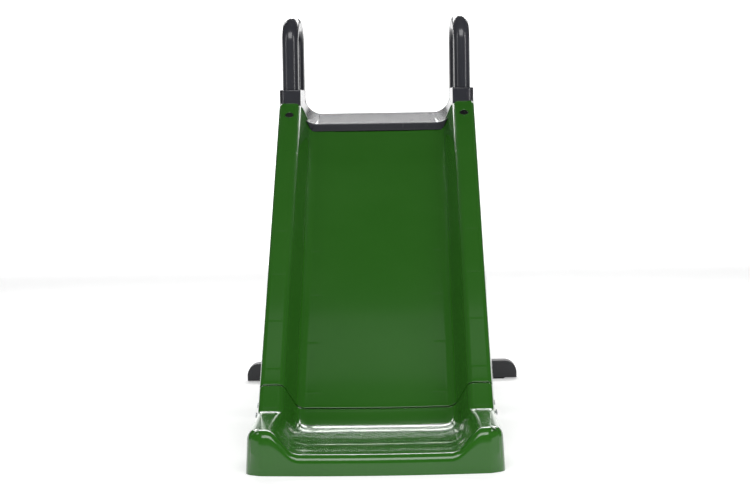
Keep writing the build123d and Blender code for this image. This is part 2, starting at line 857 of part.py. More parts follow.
with BuildPart() as foot_pads:
    with BuildSketch():
        with Locations(*[(x, bar_y) for x in (-foot_pad_x, 0, foot_pad_x)]):
            RectangleRounded(2 * foot_pad_half_length, bar_depth - 6, 5)
    extrude(amount=pad_height)
    chamfer(foot_pads.edges().group_by(Axis.Z)[0], 1)
foot_pads.part.label = "foot_pads"
export_step(foot_pads.part, "parts/foot_pads.step")

with BuildPart() as base_pads:
    for x, y in pad_places:
        extrude(disc(Plane((x, y, 0)), pad_radius), amount=pad_thickness)
        extrude(disc(Plane((x, y, 0)), pad_stem_radius - 0.05), amount=pad_thickness + pad_stem_length - 1)
base_pads.part.label = "base_pads"
export_step(base_pads.part, "parts/base_pads.step")

# ---------------------------------------------------------------- fasteners
bolt_radius = 3
bolt_head_radius = 8
bolt_head_height = 2.6
nut_radius = 5.5
nut_height = 5
washer_height = 1.2
tongue_bottom = tongue_top_gap + tongue_height

with BuildPart() as rail_bolts:
    for side in (-1, 1):
        seat = rail_crown_plane(side, bolt_run).offset(-bolt_recess_depth)
        extrude(disc(seat, bolt_head_radius), amount=bolt_head_height)
        extrude(disc(seat, bolt_radius), amount=-(tongue_bottom + nut_height + 3 - bolt_recess_depth))
        with BuildSketch(seat.offset(bolt_head_height)):
            RegularPolygon(radius=2.6, side_count=6)
        extrude(amount=-1.6, mode=Mode.SUBTRACT)
rail_bolts.part.label = "rail_bolts"
export_step(rail_bolts.part, "parts/rail_bolts.step")

with BuildPart() as rail_washers:
    for side in (-1, 1):
        seat = rail_crown_plane(side, bolt_run).offset(-tongue_bottom)
        extrude(disc(seat, 2 * bolt_radius), amount=-washer_height)
        extrude(disc(seat, bolt_hole_radius), amount=-washer_height, mode=Mode.SUBTRACT)
rail_washers.part.label = "rail_washers"
export_step(rail_washers.part, "parts/rail_washers.step")

with BuildPart() as rail_nuts:
    for side in (-1, 1):
        seat = rail_crown_plane(side, bolt_run).offset(-tongue_bottom - washer_height)
        with BuildSketch(seat):
            RegularPolygon(radius=nut_radius, side_count=6)
        extrude(amount=-nut_height)
        extrude(disc(seat, bolt_radius + 0.05), amount=-nut_height, mode=Mode.SUBTRACT)
rail_nuts.part.label = "rail_nuts"
export_step(rail_nuts.part, "parts/rail_nuts.step")

with BuildPart() as joint_screws:
    for seat in joint_seats:
        put_screw(seat, screw_head_radius, screw_head_height, screw_radius, 14)
joint_screws.part.label = "joint_screws"
export_step(joint_screws.part, "parts/joint_screws.step")

with BuildPart() as step_screws:
    for side in (-1, 1):
        for top in step_tops:
            for spread in (-1, 1):
                height = top - step_height / 2
                seat = Plane(
                    origin=(side * (leg_inner_half + leg_web), leg_y(height) + spread * step_screw_spread / 2,
                            height),
                    z_dir=(side, 0, 0),
                )
                put_screw(seat, screw_head_radius, screw_head_height, screw_radius - 0.05, step_screw_length)
step_screws.part.label = "step_screws"
export_step(step_screws.part, "parts/step_screws.step")

with BuildPart() as foot_screws:
    for side in (-1, 1):
        seat = Plane(
            origin=(side * leg_half, leg_y(bar_top), pad_height + screw_head_height + 1), z_dir=(0, 0, -1)
        )
        put_screw(seat, screw_head_radius, screw_head_height, screw_radius - 0.35, 22)
foot_screws.part.label = "foot_screws"
export_step(foot_screws.part, "parts/foot_screws.step")

# Hinge pins: headed outside, clipped inside the inner lugs, washers beside the leg
pin_head_radius = 9
pin_head_height = 3
clip_radius = 8
clip_height = 1.5
lug_end_half = inner_lug_half - lug_thickness
pin_end_half = lug_end_half - clip_height - 3

with BuildPart() as hinge_pins:
    for side in (-1, 1):
        seat = Plane(origin=(side * collar_half, hinge_y, hinge_z), z_dir=(side, 0, 0))
        extrude(disc(seat, pin_head_radius), amount=pin_head_height)
        extrude(disc(seat, pin_radius), amount=-(collar_half - pin_end_half))
hinge_pins.part.label = "hinge_pins"
export_step(hinge_pins.part, "parts/hinge_pins.step")

with BuildPart() as hinge_clips:
    for side in (-1, 1):
        seat = Plane(origin=(side * lug_end_half, hinge_y, hinge_z), z_dir=(-side, 0, 0))
        extrude(disc(seat, clip_radius), amount=clip_height)
        extrude(disc(seat, pin_radius + running_gap), amount=clip_height, mode=Mode.SUBTRACT)
hinge_clips.part.label = "hinge_clips"
export_step(hinge_clips.part, "parts/hinge_clips.step")

washer_gap = 0.15
with BuildPart() as hinge_washers:
    for side in (-1, 1):
        for inner in (inner_lug_half, leg_half + leg_thickness / 2):
            seat = Plane(origin=(side * (inner + washer_gap), hinge_y, hinge_z), z_dir=(side, 0, 0))
            extrude(disc(seat, boss_radius - 2), amount=side_gap - 2 * washer_gap)
            extrude(disc(seat, pin_radius + 2 * running_gap), amount=side_gap, mode=Mode.SUBTRACT)
hinge_washers.part.label = "hinge_washers"
export_step(hinge_washers.part, "parts/hinge_washers.step")

# Buffers that the heads of the opened ladder's legs rest against
with BuildPart() as ladder_stops:
    for side in (-1, 1):
        with BuildSketch(ladder_plane(side * (leg_half - 9))):
            with Locations((-leg_width / 2 - stop_gap - stop_thickness / 2, stop_low + stop_height / 2)):
                RectangleRounded(stop_thickness, stop_height, 1.5)
        extrude(amount=side * 18)
ladder_stops.part.label = "ladder_stops"
export_step(ladder_stops.part, "parts/ladder_stops.step")

# Countersunk screws through the collars into the handrail feet
with BuildPart() as handrail_screws:
    for side in (-1, 1):
        for place in (0, leg_spacing):
            y = handrail_front_y + place * cos(radians(toe_in))
            seat = Plane(origin=(side * collar_half, y, collar_screw_z), z_dir=(side, 0, 0))
            extrude(disc(seat, screw_head_radius - 0.3), amount=-screw_head_height)
            extrude(disc(seat, screw_radius - 0.05), amount=-collar_screw_length)
handrail_screws.part.label = "handrail_screws"
export_step(handrail_screws.part, "parts/handrail_screws.step")
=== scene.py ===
"""Toddler's straight slide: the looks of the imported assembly, in the frame of its CAD model."""
import math

import bmesh
import bpy
from mathutils import Matrix, Vector


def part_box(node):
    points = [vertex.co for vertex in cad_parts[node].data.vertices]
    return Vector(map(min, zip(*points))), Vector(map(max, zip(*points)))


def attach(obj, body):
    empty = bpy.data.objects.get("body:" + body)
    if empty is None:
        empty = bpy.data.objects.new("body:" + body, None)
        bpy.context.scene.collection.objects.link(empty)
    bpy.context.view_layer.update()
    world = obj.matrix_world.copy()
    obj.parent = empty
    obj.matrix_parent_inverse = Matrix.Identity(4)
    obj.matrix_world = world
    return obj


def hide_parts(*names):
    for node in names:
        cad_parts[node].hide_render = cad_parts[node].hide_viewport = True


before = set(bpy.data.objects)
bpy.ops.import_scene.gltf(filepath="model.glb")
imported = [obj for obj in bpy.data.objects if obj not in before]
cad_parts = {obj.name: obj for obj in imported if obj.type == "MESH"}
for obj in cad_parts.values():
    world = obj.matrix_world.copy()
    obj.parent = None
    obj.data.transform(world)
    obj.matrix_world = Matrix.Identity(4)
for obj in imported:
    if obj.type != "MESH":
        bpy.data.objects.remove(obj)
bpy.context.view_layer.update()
mm = 0.001

# Chute: one blow-moulded green shell with two hollow rails, open underneath, its bed slightly
# dished. Its crowns carry faint sink marks over the cross ribs inside. It meets the runout at a
# seam at its foot and ends under the platform at its top.
platform_overlap = 11 * mm
seam_from_front = 236 * mm
rail_end_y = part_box("chute")[1].y - platform_overlap
seam_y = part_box("runout")[0].y + seam_from_front
seam_z = 119 * mm
rail_end_z = 604 * mm
slope = math.atan2(rail_end_z - seam_z, rail_end_y - seam_y)
rail_length = math.hypot(rail_end_z - seam_z, rail_end_y - seam_y)
bed_foot = 135 * mm
crown_inner = 160 * mm
crown_outer = 200 * mm
flank_half = 206 * mm
flank_depth = 66 * mm
bed_depth = 56 * mm
bed_depth_top = 46 * mm
bed_dish = 2.2 * mm
crown_round = 8 * mm
inner_round = 14 * mm
foot_round = 26 * mm
shell_wall = 4 * mm
first_rib = 42
rib_pitch = 135
rib_count = 6
rib_runs = [(first_rib + rib_pitch * i) * mm for i in range(rib_count)]
rib_thickness = 2.5 * mm
sink_reach = 3.2 * mm
sink_depth = 0.2 * mm
rail_middle = 178.5 * mm
bolt_from_end = 42 * mm
bolt_run = rail_length - bolt_from_end
bolt_recess_radius = 9 * mm
bolt_recess_depth = 3 * mm
platform_half = 158 * mm
platform_ease = 6 * mm
skirt_top = -26 * mm
skirt_sweep = 60 * mm
skirt_bulge = 20 * mm
corner_steps = 8
flank_steps = 6
crown_steps = 20
wall_steps = 5
bed_steps = 28
green = (0.021, 0.118, 0.008)
green_worn = (0.028, 0.132, 0.013)


def link(tree, source, target):
    """Join two sockets of a node tree."""
    tree.links.new(source, target)


def noise(tree, place, scale, detail, stretch=(1, 1, 1)):
    """A noise texture on object coordinates, stretched along the axes."""
    mapping = tree.nodes.new("ShaderNodeMapping")
    mapping.inputs["Scale"].default_value = stretch
    texture = tree.nodes.new("ShaderNodeTexNoise")
    texture.inputs["Scale"].default_value = scale
    texture.inputs["Detail"].default_value = detail
    link(tree, place, mapping.inputs["Vector"])
    link(tree, mapping.outputs["Vector"], texture.inputs["Vector"])
    return texture.outputs["Fac"]


def spread(tree, source, low, high, to_low, to_high):
    """Map a value's range to another one, clamped."""
    node = tree.nodes.new("ShaderNodeMapRange")
    for name, value in (("From Min", low), ("From Max", high), ("To Min", to_low), ("To Max", to_high)):
        node.inputs[name].default_value = value
    link(tree, source, node.inputs["Value"])
    return node.outputs["Result"]


def surface(name, colour, worn, roughness, scuffed, grain, height, coat=0.0, metallic=0.0, edge=1.0):
    """A moulded or plated material: slow colour drift, fine scuffs, a surface grain and soft edges."""
    material = bpy.data.materials.new(name)
    material.use_nodes = True
    tree = material.node_tree
    shader = tree.nodes["Principled BSDF"]
    shader.inputs["Metallic"].default_value = metallic
    shader.inputs["Coat Weight"].default_value = coat
    shader.inputs["Coat Roughness"].default_value = 0.06
    shader.inputs["Specular IOR Level"].default_value = 0.36
    place = tree.nodes.new("ShaderNodeTexCoord").outputs["Object"]
    drift = spread(tree, noise(tree, place, 5, 3), 0.35, 0.7, 0, 0.6)
    scuffs = spread(tree, noise(tree, place, 60, 4, (9, 1, 1)), 0.62, 0.72, 0, 1)
    mix = tree.nodes.new("ShaderNodeMix")
    mix.data_type = "RGBA"
    mix.inputs["A"].default_value = (*colour, 1)
    mix.inputs["B"].default_value = (*worn, 1)
    tint = tree.nodes.new("ShaderNodeMath")
    tint.operation = "MULTIPLY_ADD"
    tint.inputs[1].default_value = 0.35
    link(tree, scuffs, tint.inputs[0])
    link(tree, drift, tint.inputs[2])
    link(tree, tint.outputs[0], mix.inputs["Factor"])
    link(tree, mix.outputs["Result"], shader.inputs["Base Color"])
    dull = tree.nodes.new("ShaderNodeMath")
    dull.operation = "MULTIPLY_ADD"
    dull.inputs[1].default_value = scuffed - roughness
    dull.inputs[2].default_value = roughness
    link(tree, scuffs, dull.inputs[0])
    link(tree, dull.outputs[0], shader.inputs["Roughness"])
    soften = tree.nodes.new("ShaderNodeBevel")
    soften.inputs["Radius"].default_value = edge * mm
    bump = tree.nodes.new("ShaderNodeBump")
    bump.inputs["Strength"].default_value = 1
    bump.inputs["Distance"].default_value = height * mm
    link(tree, noise(tree, place, grain, 2), bump.inputs["Height"])
    link(tree, soften.outputs["Normal"], bump.inputs["Normal"])
    link(tree, bump.outputs["Normal"], shader.inputs["Normal"])
    return material


def finish_piece(piece, material, body, nodes):
    """Give a finished piece its material, its body and the CAD nodes it stands for."""
    piece.data.materials.clear()
    piece.data.materials.append(material)
    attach(piece, body)
    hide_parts(*nodes)


def rounded(corners, radii, arc_steps, straight_steps):
    """Points along an open outline with arcs at its inner corners, the same number for any sizes."""
    corners = [Vector(c) for c in corners]
    start = corners[0]
    points = []
    for before, corner, after, radius, steps in zip(corners, corners[1:], corners[2:], radii, straight_steps):
        back = (before - corner).normalized()
        ahead = (after - corner).normalized()
        half = back.angle(ahead) / 2
        centre = corner + (back + ahead).normalized() * radius / math.sin(half)
        first = corner + back * radius / math.tan(half)
        last = corner + ahead * radius / math.tan(half)
        points += [start.lerp(first, i / steps) for i in range(steps)]
        out, turned = (first - centre).normalized(), (last - centre).normalized()
        points += [centre + out.slerp(turned, i / arc_steps) * radius for i in range(arc_steps)]
        start = last
    steps = straight_steps[-1]
    points += [start.lerp(corners[-1], i / steps) for i in range(steps + 1)]
    return points


def sheet_mesh(name, rings, thickness):
    """A smooth piece whose skin runs through rings of points, its wall inside that skin."""
    mesh = bpy.data.meshes.new(name)
    width = len(rings[0])
    points = [p for ring in rings for p in ring]
    faces = []
    for i in range(len(rings) - 1):
        for j in range(width - 1):
            a = i * width + j
            faces.append((a, a + 1, a + width + 1, a + width))
    mesh.from_pydata(points, [], faces)
    piece = bpy.data.objects.new(name, mesh)
    bpy.context.scene.collection.objects.link(piece)
    tidy_skin(piece, thickness)
    return piece


def tidy_skin(piece, thickness):
    """Merge a skin's shared points, turn it upwards, smooth it and give it its wall."""
    skin = bmesh.new()
    skin.from_mesh(piece.data)
    bmesh.ops.remove_doubles(skin, verts=skin.verts, dist=0.01 * mm)
    bmesh.ops.recalc_face_normals(skin, faces=skin.faces)
    if sum(f.normal.z * f.calc_area() for f in skin.faces) < 0:
        bmesh.ops.reverse_faces(skin, faces=skin.faces)
    skin.to_mesh(piece.data)
    skin.free()
    piece.data.shade_smooth()
    wall = piece.modifiers.new("wall", "SOLIDIFY")
    wall.thickness = thickness
    wall.offset = -1
    wall.use_even_offset = True
    soft = piece.modifiers.new("edges", "BEVEL")
    soft.width = 0.7 * mm
    soft.segments = 2
    soft.limit_method = "ANGLE"
    soft.angle_limit = math.radians(60)


def on_slope(x, run, height):
    """The point at x, run up the slope from the seam and height out of its surface."""
    return Vector((
        x,
        seam_y + run * math.cos(slope) - height * math.sin(slope),
        seam_z + run * math.sin(slope) + height * math.cos(slope),
    ))


def surface_outline(depth):
    """Flank, crown, wall, dished bed, wall, crown and flank, square to the slope."""
    right = [(bed_foot, -depth), (crown_inner, 0), (crown_outer, 0), (flank_half, -flank_depth)]
    left = [(-x, y) for x, y in reversed(right)]
    radii = [crown_round, inner_round, foot_round, foot_round, inner_round, crown_round]
    steps = (flank_steps, crown_steps, wall_steps, bed_steps, wall_steps, crown_steps, flank_steps)
    line = rounded(left + right, radii, corner_steps, steps)
    for p in line:
        if abs(p.x) < bed_foot:
            p.y += bed_dish * (p.x / bed_foot) ** 2 * min(1, (bed_foot - abs(p.x)) / foot_round)
    return line


def upper_end(x, height):
    """Run at which the chute stops: upright under the platform and the collars, swept on its skirts."""
    inside = min(max((platform_half - abs(x)) / platform_ease, 0), 1)
    end_y = rail_end_y + platform_overlap * inside
    run = (end_y - seam_y + height * math.sin(slope)) / math.cos(slope)
    if abs(x) > crown_outer - crown_round and height < skirt_top:
        swept = (skirt_top - height) / (flank_depth + skirt_top)
        start = (rail_end_y - seam_y + skirt_top * math.sin(slope)) / math.cos(slope)
        run = start + (rail_length - skirt_sweep - start) * swept + skirt_bulge * swept * (1 - swept)
    return run


def sink(run, x):
    """Shallow sink marks over the cross ribs inside the rails, and the recesses of the rail bolts."""
    nearest = min(abs(run - r) for r in rib_runs)
    mark = max(0, 1 - nearest / sink_reach) ** 2
    away = math.hypot(abs(x) - rail_middle, run - bolt_run)
    recess = min(max((bolt_recess_radius + 0.5 * mm - away) / mm, 0), 1)
    return sink_depth * mark * (abs(x) > bed_foot - foot_round) + bolt_recess_depth * recess


def inset(line, gap):
    """An outline moved square to itself, to its inner side."""
    moved = []
    for before, p, after in zip([line[0]] + line, line, line[1:] + [line[-1]]):
        heading = (after - before).normalized()
        moved.append(p + Vector((heading.y, -heading.x)) * gap)
    return moved


# Rows of the shell: close together at the seam, the ribs, the bolts and the upper end
chute_start = 1.7 * mm
edge_reach = 2 * mm
edge_drop = 0.8 * mm
end_ease = 140 * mm
row_runs = {chute_start, chute_start + 0.25 * mm, chute_start + 0.8 * mm, chute_start + 2 * mm}
row_runs |= {run + side * reach * mm for run in rib_runs for side in (-1, 1) for reach in (0, 1.2, 2.4, 4)}
row_runs |= {(12 + 27 * i) * mm for i in range(27)}
row_runs |= {bolt_run + side * back * mm for side in (-1, 1) for back in (0, 3, 5.5, 7.5, 8.5, 9.3, 10.5)}
row_runs |= {rail_length - back * mm for back in (130, 110, 90, 70, 25, 15, 5, 0)}
chute_rings = []
even_until = rail_length - end_ease
for run in sorted(row_runs):
    depth = bed_depth + (bed_depth_top - bed_depth) * run / rail_length
    edge = max(0, 1 - (run - chute_start) / edge_reach)
    ring = []
    for p in surface_outline(depth):
        share = max(0, (run - even_until) / (rail_length - even_until))
        place = run + share * (upper_end(p.x, p.y) - rail_length)
        drop = edge_drop * edge**3
        ring.append(on_slope(p.x, place, p.y - drop - sink(place, p.x)))
    chute_rings.append(ring)
glossy_green = surface("glossy_green", green, green_worn, 0.15, 0.24, 45, 0.012, coat=0.35)
chute_shell = sheet_mesh("chute_shell", chute_rings, shell_wall)
finish_piece(chute_shell, glossy_green, "slide", ["chute"])

# Inside the chute: a thinner spigot that slides into the runout and shows as a dark line at the seam,
# and cross ribs from skirt to skirt. Both belong to the same moulding.
spigot_length = 45 * mm
spigot_gap = shell_wall + 0.4 * mm
spigot_line = inset(surface_outline(bed_depth), spigot_gap)
spigot_rings = []
for run in (-spigot_length, -spigot_length / 2, 0, 6 * mm, 12 * mm):
    spigot_rings.append([on_slope(p.x, run, p.y) for p in spigot_line])
chute_spigot = sheet_mesh("chute_spigot", spigot_rings, 3 * mm)
finish_piece(chute_spigot, glossy_green, "slide", ["chute"])


def rib_mesh():
    """All cross ribs as thin closed plates under the skin."""
    plates = bmesh.new()
    for run in rib_runs:
        depth = bed_depth + (bed_depth_top - bed_depth) * run / rail_length
        line = inset(surface_outline(depth), shell_wall / 2)
        sides = []
        for face in (-1, 1):
            place = run + face * rib_thickness / 2
            sides.append([plates.verts.new(on_slope(p.x, place, p.y)) for p in line])
        plates.faces.new(sides[0])
        plates.faces.new(sides[1][::-1])
        for i in range(len(line)):
            j = (i + 1) % len(line)
            plates.faces.new((sides[0][j], sides[0][i], sides[1][i], sides[1][j]))
    bmesh.ops.recalc_face_normals(plates, faces=plates.faces)
    mesh = bpy.data.meshes.new("chute_ribs")
    plates.to_mesh(mesh)
    plates.free()
    return mesh


chute_ribs = bpy.data.objects.new("chute_ribs", rib_mesh())
bpy.context.scene.collection.objects.link(chute_ribs)
finish_piece(chute_ribs, glossy_green, "slide", ["chute"])

# Runout: the chute's foot, a separate green moulding. Its two rails drop onto rounded posts, its bed
# turns level in a wide knee and ends in a rolled lip, and its skirt stands on the floor all round.
front_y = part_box("runout")[0].y
base_half = 212 * mm
front_bow = 14 * mm
post_height = 72 * mm
post_rise = 0.055
lip_height = 33 * mm
lip_rise = math.tan(math.radians(3))
knee_radius = 180 * mm
heel_radius = 40 * mm
post_round = 18 * mm
lip_round = 14 * mm
corner_round = 30 * mm
shoulder = 17 * mm
front_draft = 3 * mm
skirt_length = 195 * mm
foot_front = 126 * mm
inner_front = 176 * mm
flank_draft = 3 * mm
flank_turn = math.radians(84)
front_turn = math.radians(86)
blend_start = 0.15
blend_length = 0.75
rear_foot_run = 77 * mm
rear_foot_rise = 63.6 * mm
crown_drop = 12 * mm
bead_height = 0.6 * mm
bead_place = 44 * mm
bead_width = 5 * mm
step_drop = 0.9 * mm
step_place = 84 * mm
step_length = 14 * mm


def valley(y, high, low, radius):
    """Height of two lines that meet in a hollow, each a point and a rise, rounded by an arc."""
    (high_y, high_z), high_rise = high
    (low_y, low_z), low_rise = low
    meet = (low_z - high_z + high_rise * high_y - low_rise * low_y) / (high_rise - low_rise)
    height = low_z + low_rise * (meet - low_y)
    steep = math.atan(high_rise)
    flat = math.atan(low_rise)
    reach = radius * math.tan((steep - flat) / 2)
    first = meet - reach * math.cos(flat)
    last = meet + reach * math.cos(steep)
    if y <= first:
        return low_z + low_rise * (y - low_y)
    if y >= last:
        return height + high_rise * (y - meet)
    centre_y = first - radius * math.sin(flat)
    centre_z = height - reach * math.sin(flat) + radius * math.cos(flat)
    return centre_z - math.sqrt(radius**2 - (y - centre_y) ** 2)


def crown_height(y):
    """Height of the crowns: down the slope, a tight heel, then the posts' tops."""
    post = ((front_y + post_round, post_height), post_rise)
    return valley(y, ((seam_y, seam_z), math.tan(slope)), post, heel_radius)


def bed_height(y):
    """Height of the bed: down the slope, a wide knee, then nearly level to the lip."""
    seam = on_slope(0, 0, -bed_depth)
    low = ((front_y, lip_height), lip_rise)
    return valley(y, ((seam.y, seam.z), math.tan(slope)), low, knee_radius)


def ease(value):
    """Smooth step from 0 to 1."""
    value = min(max(value, 0), 1)
    return value * value * (3 - 2 * value)


def bead(distance):
    """A low bead, and a shallow step down, that run across the bed behind the lip."""
    low = bead_height * math.exp(-((distance - bead_place) / bead_width) ** 2)
    step = step_drop * ease((distance - step_place) / step_length)
    return low - step


def front_line(x):
    """The bowed front edge on the floor."""
    return front_y + front_bow * (x / base_half) ** 2


def round_corner(point):
    """Bring the base's two square front corners in to a round one."""
    side = 1 if point.x > 0 else -1
    out = side * point.x - (base_half - corner_round)
    ahead = front_line(point.x) + corner_round - point.y
    if out <= 0 or ahead <= 0:
        return point
    scale = max(out, ahead) / math.hypot(out, ahead)
    y = front_line(point.x) + corner_round - ahead * scale
    return Vector((side * (base_half - corner_round + out * scale), y, point.z))


# Rows from the seam to the front; each row's first and last points, the outer arc and below it,
# are its flanks
seam_line = surface_outline(bed_depth)
flank_count = corner_steps + flank_steps
runout_rows = 64
runout_rings = []
for row in range(runout_rows + 1):
    along = row / runout_rows
    ring = []
    for index, p in enumerate(seam_line):
        side = 1 if p.x > 0 else -1
        ahead = ease((along - blend_start) / blend_length)
        wall_share = 1 + p.y / bed_depth
        on_flank = min(index, len(seam_line) - 1 - index) < flank_count
        start = on_slope(p.x, -chute_start, p.y)
        if on_flank:
            step = flank_count - min(index, len(seam_line) - 1 - index)
            turn = flank_turn * min(step / corner_steps, 1)
            below = max(0, (step - corner_steps) / flank_steps)
            x_front = base_half - flank_draft - shoulder + shoulder * math.sin(turn) + flank_draft * below
            drop_front = shoulder * (1 - math.cos(turn))
            end_y = front_line(side * base_half)
            y = start.y + (end_y - start.y) * along
            x = abs(p.x) + (x_front - abs(p.x)) * ahead
            foot = max(0, (y - front_y - skirt_length) / rear_foot_run) * rear_foot_rise
            drop_seam = -p.y / math.cos(slope)
            top = crown_height(y) - drop_front * ahead - min(drop_seam, crown_drop) * (1 - ahead)
            z = top + (foot - top) * below
            if row == 0:
                z = start.z
        else:
            up_wall = (abs(p.x) - bed_foot + foot_round) / (crown_inner - bed_foot + foot_round)
            foot_share = min(max(up_wall, 0), 1)
            x_front = abs(p.x)
            if abs(p.x) <= crown_inner:
                x_front = abs(p.x) * (foot_front / (bed_foot - foot_round))
            if foot_share > 0:
                x_front = foot_front + (inner_front - foot_front) * foot_share
            if abs(p.x) > crown_inner:
                outer = base_half - flank_draft - shoulder
                x_front = inner_front + (outer - inner_front) * (abs(p.x) - crown_inner) / (
                    crown_outer - crown_inner)
            q_front = ease(foot_share)
            x = abs(p.x) + (x_front - abs(p.x)) * ahead
            q = wall_share + (q_front - wall_share) * ahead
            round_here = lip_round + (post_round - lip_round) * q_front
            end_y = front_line(x_front) + front_draft * q_front + round_here
            y = start.y + (end_y - start.y) * along
            z = bed_height(y) + (crown_height(y) - bed_height(y)) * q
            z += bead(y - front_line(x)) * (1 - q) * ease(ahead * 3)
        ring.append(Vector((side * x, y, z)))
    runout_rings.append(ring)
front_rings = [runout_rings[-1][flank_count:len(seam_line) - flank_count]]
runout_front = []
for step in range(1, flank_count + 1):
    ring = []
    for p in front_rings[0]:
        q = min(max((p.z - lip_height) / (post_height - lip_height), 0), 1)
        roll = lip_round + (post_round - lip_round) * q
        turn = front_turn * min(step / corner_steps, 1)
        below = max(0, (step - corner_steps) / flank_steps)
        y = p.y - roll * math.sin(turn)
        z = p.z - roll * (1 - math.cos(turn))
        ring.append(Vector((p.x, y + (front_line(p.x) - y) * below, z * (1 - below))))
    runout_front.append(ring)
runout_mesh = bpy.data.meshes.new("runout_shell")
points = []
faces = []


def add_grid(rings):
    """Add a grid of faces through rings of points."""
    first = len(points)
    width = len(rings[0])
    points.extend(round_corner(p) for ring in rings for p in ring)
    for i in range(len(rings) - 1):
        for j in range(width - 1):
            a = first + i * width + j
            faces.append((a, a + 1, a + width + 1, a + width))


add_grid(runout_rings)
add_grid(front_rings + runout_front)
left_flank = runout_rings[-1][:flank_count + 1]
left_join = [front_rings[0][0]] + [ring[0] for ring in runout_front]
add_grid([left_flank, left_join[::-1]])
right_flank = runout_rings[-1][len(seam_line) - flank_count - 1:]
right_join = [front_rings[0][-1]] + [ring[-1] for ring in runout_front]
add_grid([right_flank, right_join])
runout_mesh.from_pydata(points, [], faces)
runout_shell = bpy.data.objects.new("runout_shell", runout_mesh)
bpy.context.scene.collection.objects.link(runout_shell)
tidy_skin(runout_shell, shell_wall)
finish_piece(runout_shell, glossy_green, "slide", ["runout"])

# Bosses under the runout's posts, moulded with it, that carry its four rubber pads. They repeat, so
# one cylinder is placed on points by geometry nodes.
boss_radius = 12 * mm
pad_top = 4 * mm
pad_half = 178 * mm
boss_sides = 48
boss_rows = (("bosses_front", 45 * mm, 67 * mm), ("bosses_rear", 165 * mm, 73 * mm))


def set_choice(node, attribute, socket, value, label):
    """Set a node's choice, whether this version keeps it as an attribute or as a socket."""
    if hasattr(node, attribute):
        setattr(node, attribute, value)
    else:
        node.inputs[socket].default_value = label


def grown(name, base, tree, values):
    """The plain mesh that a geometry-nodes group makes from a base object."""
    modifier = base.modifiers.new("build", "NODES")
    modifier.node_group = tree
    sockets = {item.name: item.identifier for item in tree.interface.items_tree if item.in_out == "INPUT"}
    for socket, value in values.items():
        modifier[sockets[socket]] = value
    evaluated = base.evaluated_get(bpy.context.evaluated_depsgraph_get())
    mesh = bpy.data.meshes.new_from_object(evaluated)
    mesh.name = name
    bpy.data.objects.remove(base)
    piece = bpy.data.objects.new(name, mesh)
    bpy.context.scene.collection.objects.link(piece)
    return piece


def boss_nodes():
    """Geometry nodes: a cylinder standing on every point of a mesh."""
    tree = bpy.data.node_groups.new("bosses", "GeometryNodeTree")
    tree.interface.new_socket("Places", in_out="INPUT", socket_type="NodeSocketGeometry")
    for name in ("Radius", "Height"):
        tree.interface.new_socket(name, in_out="INPUT", socket_type="NodeSocketFloat")
    tree.interface.new_socket("Material", in_out="INPUT", socket_type="NodeSocketMaterial")
    tree.interface.new_socket("Bosses", in_out="OUTPUT", socket_type="NodeSocketGeometry")
    given = tree.nodes.new("NodeGroupInput").outputs
    boss = tree.nodes.new("GeometryNodeMeshCylinder")
    boss.inputs["Vertices"].default_value = boss_sides
    placed = tree.nodes.new("GeometryNodeInstanceOnPoints")
    whole = tree.nodes.new("GeometryNodeRealizeInstances")
    paint = tree.nodes.new("GeometryNodeSetMaterial")
    result = tree.nodes.new("NodeGroupOutput")
    link(tree, given["Radius"], boss.inputs["Radius"])
    link(tree, given["Height"], boss.inputs["Depth"])
    link(tree, given["Places"], placed.inputs["Points"])
    link(tree, boss.outputs["Mesh"], placed.inputs["Instance"])
    link(tree, placed.outputs["Instances"], whole.inputs["Geometry"])
    link(tree, whole.outputs["Geometry"], paint.inputs["Geometry"])
    link(tree, given["Material"], paint.inputs["Material"])
    link(tree, paint.outputs["Geometry"], result.inputs["Bosses"])
    return tree


boss_tree = boss_nodes()
for name, back, height in boss_rows:
    places = bpy.data.meshes.new(name + "_places")
    middle = pad_top + height / 2
    places.from_pydata([(s * pad_half, front_y + back, middle) for s in (-1, 1)], [], [])
    base = bpy.data.objects.new(name + "_places", places)
    bpy.context.scene.collection.objects.link(base)
    bosses = grown("runout_" + name, base, boss_tree, {
        "Radius": boss_radius, "Height": height, "Material": glossy_green,
    })
    finish_piece(bosses, glossy_green, "slide", ["runout"])

# Platform and handrails: anthracite blow-moulded plastic, plugged together and screwed.
anthracite = surface("anthracite", (0.030, 0.031, 0.038), (0.045, 0.046, 0.053), 0.2, 0.3, 90, 0.04, coat=0.2,
                     edge=2.5)
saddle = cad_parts["saddle"]
saddle.data.materials.clear()
saddle.data.materials.append(anthracite)
weld = saddle.modifiers.new("weld", "WELD")
weld.merge_threshold = 0.01 * mm
soft = saddle.modifiers.new("soft edges", "BEVEL")
soft.width = 2 * mm
soft.segments = 3
soft.limit_method = "ANGLE"
soft.angle_limit = math.radians(40)
soft.use_clamp_overlap = False

# Handrails: two hollow loops blow-moulded from a nearly round tube, plugged into the collars and
# toed in towards the rear. Each carries a faint pinch line round its legs.
tube_width = 34 * mm
tube_depth = 36 * mm
tube_corner = 16 * mm
loop_radius = 40 * mm
toe_in = math.radians(4)
handrail_half = 177 * mm
leg_spacing = 104 * mm
arch_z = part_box("handrail_left")[1].z - tube_depth / 2
foot_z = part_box("handrail_left")[0].z
handrail_from_rails = 21 * mm
handrail_front_y = rail_end_y + handrail_from_rails
pinch_below_arch = 60 * mm
pinch_z = arch_z - pinch_below_arch
arch_steps = 16
tube_corner_steps = 8
path_step = 2 * mm


